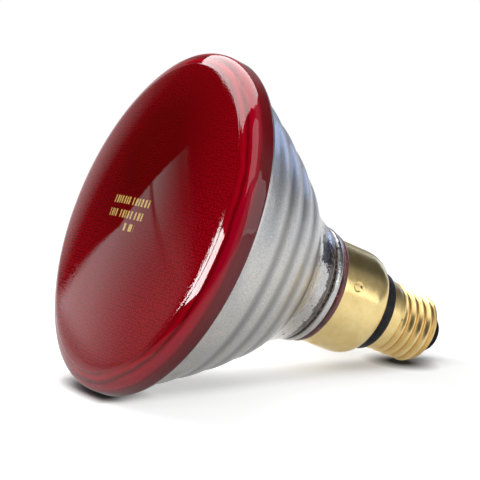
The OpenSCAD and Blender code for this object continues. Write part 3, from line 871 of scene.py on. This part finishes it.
def softbox():
    """Large dim source in front of the window; it fades from its near edge outwards."""
    outline = [(0.015, 0.395), (0.060, 0.263), (0.097, 0.138), (0.240, -0.010), (0.343, -0.100)]
    outline += [(-0.360, -0.100), (-0.400, 0.150), (-0.240, 0.330)]
    away, distance = direction(-119, 3), 0.9
    window = LAMP @ Vector((0, 0, -DOME_H))
    seam_v, seam_slope = 0.248, 0.243   # a dark seam crosses the sheet; above it the light falls off

    def strength(n, u, v):
        above = n.math("SUBTRACT", v, n.math("ADD", seam_v, n.math("MULTIPLY", u, seam_slope)))
        edge = n.spread(above, 0.0, 0.004, 1.0, 1.3)
        upper = n.math("MULTIPLY", edge, n.spread(above, 0.0, 0.11, 1.0, 0.15))
        seam = n.math("ABSOLUTE", n.math("SUBTRACT", above, -0.004))
        upper = n.math("MULTIPLY", upper, n.spread(seam, 0.004, 0.010, 0.25, 1.0))
        return n.math("MULTIPLY", upper, n.spread(u, -0.15, 0.09, 0.33, 0.90))

    place = Matrix.Translation(window + away * distance) @ facing(away)
    glowing_sheet("softbox", outline, place, strength)


def side_sheet():
    """Pale sheet beside the window's far edge, fading towards the front."""
    left, right, bottom, top = -0.56, 0.45, -0.20, 0.50
    outline = [(left, bottom), (right, bottom), (right, top), (left, top)]
    away, distance = direction(-76, 4), 1.3

    def strength(n, u, v):
        return n.math("MULTIPLY", n.spread(u, left, -0.14, 0.0, 1.15), n.spread(v, -0.05, 0.4, 1.0, 0.2))

    place = Matrix.Translation(LAMP_MIDDLE + away * distance) @ facing(away)
    glowing_sheet("side_sheet", outline, place, strength)


def ceiling():
    """Bright soft sheet overhead, towards the back left."""
    outline = [(-0.02, -0.03), (-0.72, -0.92), (-1.48, -0.68), (-2.0, -0.15), (-1.85, 0.95)]
    outline += [(-0.40, 1.10), (0.0, 0.5)]
    height, glow = 1.2, 4.2
    glowing_sheet("ceiling", outline, Matrix.Translation((0, 0, height)), lambda n, u, v: glow)


def studio():
    """All the light. The key only makes highlights, and the fill makes none."""
    softbox()
    ceiling()
    side_sheet()
    key = panel("key", -162, 18, 1.0, (0.40, 0.31), 17.0)
    key.visible_diffuse = False
    panel("side_right", 62, 11, 1.2, (0.72, 0.85), 1.4)
    panel("front_top", 108, 64, 1.1, (0.9, 0.8), 1.6)
    panel("cool_back", -28, 12, 1.3, (0.45, 0.40), 0.9, tint=(0.6, 0.78, 1.3))
    fill = panel("fill", 112, 42, 1.2, (0.8, 0.6), 3.0)
    fill.visible_glossy = False


def painted_contact_shadow(n, p, far):
    """Painted contact shadow: how much of the sky a point of the floor sees, low at the rim's and the
    thread's contact, with a painted dark spot where the thread rests.
    """
    x, y, _ = n.split(p)
    near = n.add("AmbientOcclusion", samples=8)
    n.feed(near, "Distance", CONTACT_REACH)
    shade = n.spread(near.outputs["AO"], 0.15, 0.85, 0.05, 1.0)
    clear = n.spread(x, 0.007, 0.017, n.spread(y, -0.066, -0.050, 0.0, 1.0), 1.0)
    shade = n.math("MAXIMUM", shade, clear)
    middle = (THREAD_TOUCH[0], THREAD_TOUCH[1] * TOUCH_NARROW, 0)
    touch = n.distance(n.stretch(p, (1, TOUCH_NARROW, 1)), middle)
    shade = n.math("MULTIPLY", shade, n.spread(touch, 0.005, 0.021, 0.05, 1.0))
    return n.math("MAXIMUM", shade, n.spread(far, 0.16, 0.24, 0.0, 1.0))


def glow_share(n, p, far, camera_ray):
    """How much of the floor is its own glow: all of it far off, least where the rim and thread rest."""
    x, y, _ = n.split(p)
    under = n.spread(y, -0.066, -0.050, 0.16, 0.42)
    share = n.math("MULTIPLY", under, n.spread(y, 0.0, 0.045, 1.0, 0.5))
    share = n.spread(x, 0.008, 0.022, share, 0.75)
    near = n.spread(camera_ray, 0.0, 1.0, 0.4, share)
    return n.math("MAXIMUM", n.spread(far, 0.25, 0.9, 0.0, 1.0), near)


def floor_paper():
    """White paper. The camera sees the painted contact shadow on it; reflections see it dimmer in front.
    """
    n = Nodes("floor_paper")
    p = n.add("TexCoord").outputs["Object"]
    _, y, _ = n.split(p)
    far = n.radius(p)
    path = n.add("LightPath")
    camera_ray = path.outputs["Is Camera Ray"]
    front = n.spread(y, -0.25, -0.03, 0.30, 1.0)
    dim = n.spread(path.outputs["Is Glossy Ray"], 0.0, 1.0, 1.0, front)
    shade = painted_contact_shadow(n, p, far)
    # Painted shadow: to the camera the paper's colour is the contact shade times a gain that falls towards
    # the cap.
    seen = n.math("MULTIPLY", shade, n.spread(y, -0.01, 0.045, 1.4, 0.7))
    paper = n.add("BsdfDiffuse")
    n.feed(paper, "Color", n.mix(camera_ray, n.math("MULTIPLY", dim, 0.75), seen))
    glow = n.add("Emission")
    n.feed(glow, "Strength", n.spread(camera_ray, 0.0, 1.0, n.math("MULTIPLY", dim, 0.78), shade))
    blend = n.add("MixShader")
    n.feed(blend, 0, glow_share(n, p, far, camera_ray))
    n.link(paper.outputs[0], blend.inputs[1])
    n.link(glow.outputs[0], blend.inputs[2])
    n.link(blend.outputs[0], n.out.inputs["Surface"])
    return n.material


def floor():
    """Round white floor that the lamp lies on."""
    steps = 96
    ring = []
    for k in range(steps):
        a = 2 * math.pi * k / steps
        ring.append((FLOOR_R * math.cos(a), FLOOR_R * math.sin(a), 0))
    mesh = bpy.data.meshes.new("floor")
    mesh.from_pydata(ring, [], [tuple(range(steps))])
    mesh.materials.append(floor_paper())
    obj = bpy.data.objects.new("floor", mesh)
    bpy.context.scene.collection.objects.link(obj)


def world():
    """White to the camera; to everything else a soft grey room, dark in front and over the cap."""
    room = bpy.data.worlds.new("studio")
    bpy.context.scene.world = room
    room.use_nodes = True
    tree = room.node_tree
    tree.nodes.clear()
    out = tree.nodes.new("ShaderNodeOutputWorld")
    seen = tree.nodes.new("ShaderNodeBackground")
    felt = tree.nodes.new("ShaderNodeBackground")
    seen.inputs["Color"].default_value = (1, 1, 1, 1)
    felt.inputs["Color"].default_value = (0.98, 0.99, 1.0, 1)
    place = tree.nodes.new("ShaderNodeTexCoord")
    shade = None
    for azimuth, elevation, outer, inner, low in DARK_LOBES:
        toward = tree.nodes.new("ShaderNodeVectorMath")
        toward.operation = "DOT_PRODUCT"
        toward.inputs[1].default_value = direction(azimuth, elevation)
        fall = tree.nodes.new("ShaderNodeMapRange")
        for i, v in enumerate((outer, inner, 1.0, low)):
            fall.inputs[i + 1].default_value = v
        tree.links.new(place.outputs["Generated"], toward.inputs[0])
        tree.links.new(toward.outputs["Value"], fall.inputs[0])
        both = tree.nodes.new("ShaderNodeMath")
        both.operation = "MULTIPLY"
        both.inputs[1].default_value = ROOM_LEVEL
        tree.links.new(fall.outputs[0], both.inputs[0])
        if shade:
            tree.links.new(shade, both.inputs[1])
        shade = both.outputs[0]
    path = tree.nodes.new("ShaderNodeLightPath")
    mix = tree.nodes.new("ShaderNodeMixShader")
    tree.links.new(shade, felt.inputs["Strength"])
    tree.links.new(path.outputs["Is Camera Ray"], mix.inputs[0])
    tree.links.new(felt.outputs[0], mix.inputs[1])
    tree.links.new(seen.outputs[0], mix.inputs[2])
    tree.links.new(mix.outputs[0], out.inputs["Surface"])


def camera():
    """The view from the front right, a little above the lamp."""
    aim = LAMP @ Vector((4.3, -4.8, 36.8))
    back = direction(VIEW_AZIMUTH, VIEW_ELEVATION)
    data = bpy.data.cameras.new("camera")
    data.sensor_width = SENSOR_WIDTH
    data.lens = LENS_LENGTH
    cam = bpy.data.objects.new("camera", data)
    cam.location = aim + back * VIEW_DISTANCE
    cam.rotation_mode = "QUATERNION"
    cam.rotation_quaternion = (-back).to_track_quat("-Z", "Y")
    bpy.context.scene.collection.objects.link(cam)
    bpy.context.scene.camera = cam


studio()
floor()
world()
camera()
bpy.context.scene.view_settings.view_transform = "Standard"
